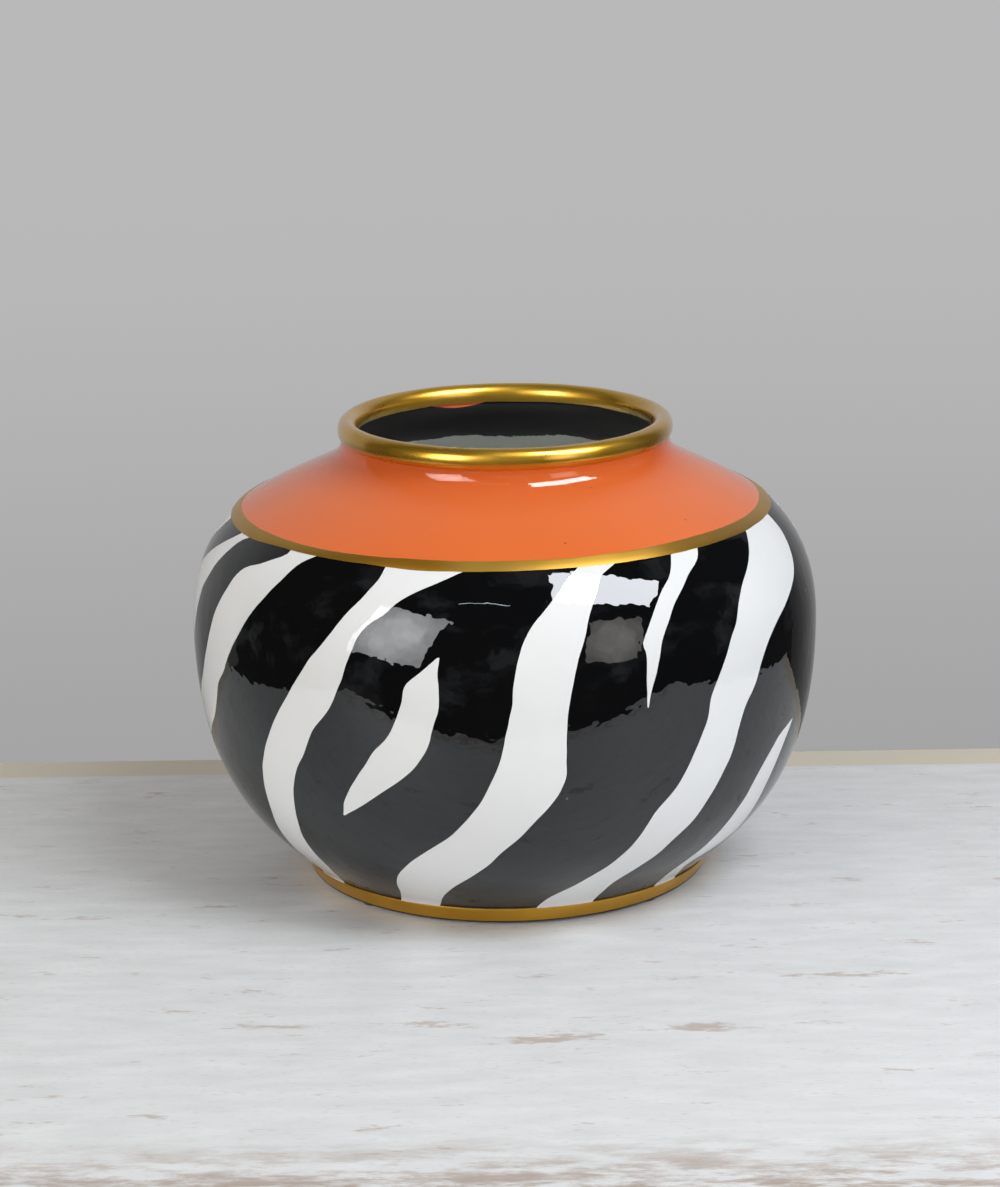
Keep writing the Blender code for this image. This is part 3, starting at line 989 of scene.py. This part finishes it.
streaks = 0.0
for left, right, middle, half_width in STREAKS:
    reach = (right - left) / 2
    beside = maths(tree, "ABSOLUTE", maths(tree, "SUBTRACT", back, middle))
    along = maths(tree, "ABSOLUTE", maths(tree, "SUBTRACT", across, (left + right) / 2))
    streak = maths(
        tree, "MULTIPLY", steps(tree, beside, half_width, 0.0), steps(tree, along, reach, STREAK_FULL * reach)
    )
    streaks = maths(tree, "MAXIMUM", streaks, streak)
scuffed = maths(tree, "MULTIPLY_ADD", streaks, STREAK_SCUFFING, scuffs)
scuffed = maths(tree, "MULTIPLY_ADD", fine, FINE_SCUFFING, scuffed)
painted = blend(tree, steps(tree, scuffed, *SCUFF_SHOWS, 0.0, SCUFF_STRENGTH), painted, SCUFF_BROWN)

# The front end is worn to the wood over this depth.
WORN_DEPTH = 0.060

near_front = steps(tree, back, BOARD_FRONT + WORN_DEPTH, BOARD_FRONT)
bare_wood = maths(tree, "MULTIPLY", near_front, steps(tree, scuffs, *WOOD_SHOWS))
painted = blend(tree, bare_wood, painted, BARE_BROWN)
strip_start = BOARD_BACK - BOARD_STRIP
on_strip = steps(tree, back, strip_start - STRIP_EDGE, strip_start + STRIP_EDGE)
tree.links.new(blend(tree, on_strip, painted, STRIP_CREAM), shader.inputs["Base Color"])

form = bmesh.new()
board_middle = Vector((0, (BOARD_FRONT + BOARD_BACK) / 2, -BOARD_THICKNESS / 2))
board_size = Vector((2 * BOARD_HALF_LENGTH, BOARD_BACK - BOARD_FRONT, BOARD_THICKNESS))
bmesh.ops.create_cube(form, size=1.0, matrix=Matrix.LocRotScale(board_middle, None, board_size))
board = finish_piece("board", form, board_paint)

# The wall is a card that only the glaze sees. It glows by itself: dim at its foot, brightest above that, and
# fading towards the ceiling and towards the right.
WALL_MIDDLE = (-0.36, 0.55, 1.15)
WALL_SIZE = (2.48, 2.9)
WALL_BRIGHTENS = (-0.25, 0.15)
WALL_FADES_UP = (0.2, 1.9)
WALL_FADES_RIGHT = (0.25, 0.90)
WALL_LOW = (0.13, 0.13, 0.13, 1)
WALL_BRIGHT = (0.36, 0.36, 0.365, 1)
WALL_FAR = (0.04, 0.04, 0.042, 1)

# The card's colour is its own glow, which the glaze mirrors as the lit wall; it is no paint.
wall_glow_finish, tree, shader = new_finish("grey_wall_glow", roughness=0.8)
shader.inputs["Base Color"].default_value = (0.05, 0.05, 0.05, 1)
where = put(tree, "ShaderNodeTexCoord").outputs["Object"]
place = put(tree, "ShaderNodeSeparateXYZ", {"Vector": where})
across, up = place.outputs["X"], place.outputs["Z"]
low_wall = blend(tree, steps(tree, up, *WALL_BRIGHTENS), WALL_LOW, WALL_BRIGHT)
fading = maths(tree, "MAXIMUM", steps(tree, up, *WALL_FADES_UP), steps(tree, across, *WALL_FADES_RIGHT))
tree.links.new(blend(tree, fading, low_wall, WALL_FAR), shader.inputs["Emission Color"])
shader.inputs["Emission Strength"].default_value = 1.0

form = bmesh.new()
wall_at = Matrix.Translation(WALL_MIDDLE) @ Matrix.Rotation(math.radians(90), 4, "X")
bmesh.ops.create_grid(
    form, x_segments=1, y_segments=1, size=0.5, matrix=wall_at @ Matrix.Diagonal((*WALL_SIZE, 1, 1))
)
wall = finish_piece("wall_card", form, wall_glow_finish)
wall.visible_camera = False
wall.visible_shadow = False
wall.visible_diffuse = False

# The camera sees the wall as a plain grey that is darker low down, the vase is lit from all round by a dim
# one, and the glaze mirrors a dark room with a little clutter.
HORIZON = (-0.36, -0.12)
GREY_BELOW = (0.355, 0.355, 0.36, 1)
GREY_ABOVE = (0.485, 0.485, 0.485, 1)
DIM_LIGHT = {"Color": (1.0, 0.97, 0.93, 1), "Strength": 0.32}
CLUTTER_SCALE = 3.5
CLUTTER_SHOWS = (0.50, 0.72)
CLUTTER_LIGHT = (0.03, 0.24)
CLUTTER_TINT = (0.95, 0.97, 1.0, 1)

room = bpy.data.worlds.new("room")
bpy.context.scene.world = room
room.use_nodes = True
tree = room.node_tree
tree.nodes.clear()
seen = put(tree, "ShaderNodeLightPath").outputs
towards = put(tree, "ShaderNodeTexCoord").outputs["Generated"]
up = put(tree, "ShaderNodeSeparateXYZ", {"Vector": towards}).outputs["Z"]
wall_grey = blend(tree, steps(tree, up, *HORIZON), GREY_BELOW, GREY_ABOVE)
pale = put(tree, "ShaderNodeBackground", {"Color": wall_grey, "Strength": 1.0}).outputs[0]
dim = put(tree, "ShaderNodeBackground", DIM_LIGHT).outputs[0]
clutter = mottle(tree, towards, CLUTTER_SCALE, detail=4.0)
shadowy = steps(tree, clutter, *CLUTTER_SHOWS, *CLUTTER_LIGHT)
dark = put(tree, "ShaderNodeBackground", {"Color": CLUTTER_TINT, "Strength": shadowy}).outputs[0]
unlit = put(tree, "ShaderNodeMixShader", {0: seen["Is Glossy Ray"], 1: dim, 2: dark}).outputs[0]
sky = put(tree, "ShaderNodeMixShader", {0: seen["Is Camera Ray"], 1: unlit, 2: pale}).outputs[0]
put(tree, "ShaderNodeOutputWorld", {"Surface": sky})

# What the lamps face.
LAMP_AIM = Vector((0, 0, 0.12))


def panel(name, place, width, height, roll, brightness, colour, mirrored=True, lights=True):
    """A soft lamp that faces the vase. Brightness is what its reflection in a mirror would measure."""
    lamp = bpy.data.lights.new(name, "AREA")
    lamp.shape = "RECTANGLE"
    lamp.size, lamp.size_y = width, height
    lamp.energy = brightness * math.pi * width * height
    lamp.color = colour
    holder = bpy.data.objects.new(name, lamp)
    aim = (LAMP_AIM - Vector(place)).to_track_quat("-Z", "Y").to_matrix().to_4x4()
    holder.matrix_world = Matrix.Translation(place) @ aim @ Matrix.Rotation(math.radians(roll), 4, "Z")
    holder.visible_camera = False
    holder.visible_glossy = mirrored
    holder.visible_diffuse = lights
    bpy.context.scene.collection.objects.link(holder)
    return lamp


def glow_from_middle(lamp):
    """The cloth of a soft lamp hangs in faint folds and glows most round its middle."""
    middle = (0.5, 0.5, 0)
    reach, levels = (0.1, 0.7), (1.18, 0.62)
    fold_scale, fold_levels = 3.0, (0.88, 1.12)
    lamp.use_nodes = True
    tree = lamp.node_tree
    over = put(tree, "ShaderNodeNewGeometry").outputs["Parametric"]
    away = put(tree, "ShaderNodeVectorMath", {0: over, 1: middle}, operation="DISTANCE").outputs["Value"]
    folded = steps(tree, mottle(tree, over, fold_scale, detail=2.0), *NARROW, *fold_levels)
    glow = maths(tree, "MULTIPLY", folded, steps(tree, away, *reach, *levels))
    tree.links.new(glow, tree.nodes["Emission"].inputs["Strength"])


# The panes and the tube are what the glaze mirrors. The soft lamps, at or near the panes' places, light the
# vase and aren't mirrored.
panel(
    "bright_pane", (0.694, -0.611, 1.192), width=0.860, height=0.495, roll=-37.3, brightness=14.9,
    colour=(0.96, 0.96, 1.0), lights=False,
)
left_pane = panel(
    "left_pane", (-0.845, -1.030, 0.616), width=0.670, height=0.890, roll=-10.0, brightness=5.8,
    colour=(1.0, 0.985, 0.97), lights=False,
)
right_pane = panel(
    "right_pane", (0.888, -1.103, 0.493), width=0.495, height=0.700, roll=-9.6, brightness=1.9,
    colour=(1.0, 0.94, 0.87), lights=False,
)
glow_from_middle(left_pane)
glow_from_middle(right_pane)
panel(
    "tube_lamp", (-0.162, -0.983, 1.243), width=0.39, height=0.012, roll=3.0, brightness=10.0,
    colour=(0.8, 0.95, 1.0),
)
panel(
    "bright_soft", (0.706, -0.622, 1.175), width=0.879, height=0.468, roll=-37.3, brightness=10.5,
    colour=(0.93, 0.96, 1.0), mirrored=False,
)
panel(
    "left_soft", (-0.818, -1.059, 0.590), width=1.1, height=1.1, roll=-2.5, brightness=2.65,
    colour=(1.0, 0.975, 0.94), mirrored=False,
)
panel(
    "right_soft", (1.0, -0.75, 0.50), width=0.5, height=0.7, roll=0.0, brightness=3.45,
    colour=(0.84, 0.91, 1.0), mirrored=False,
)

# Camera.
CAMERA_PLACE = (0.0, -1.3427, 0.4841)
LENS = 93.47
SENSOR = 36
YAW, PITCH, ROLL = 0.086, 14.990, -0.856

lens = bpy.data.cameras.new("camera")
lens.lens = LENS
lens.sensor_width = SENSOR
camera = bpy.data.objects.new("camera", lens)
turn = Matrix.Rotation(math.radians(YAW), 4, "Z") @ Matrix.Rotation(math.radians(90 - PITCH), 4, "X")
camera.matrix_world = Matrix.Translation(CAMERA_PLACE) @ turn @ Matrix.Rotation(math.radians(ROLL), 4, "Z")
bpy.context.scene.collection.objects.link(camera)
bpy.context.scene.camera = camera
bpy.context.scene.view_settings.view_transform = "Standard"
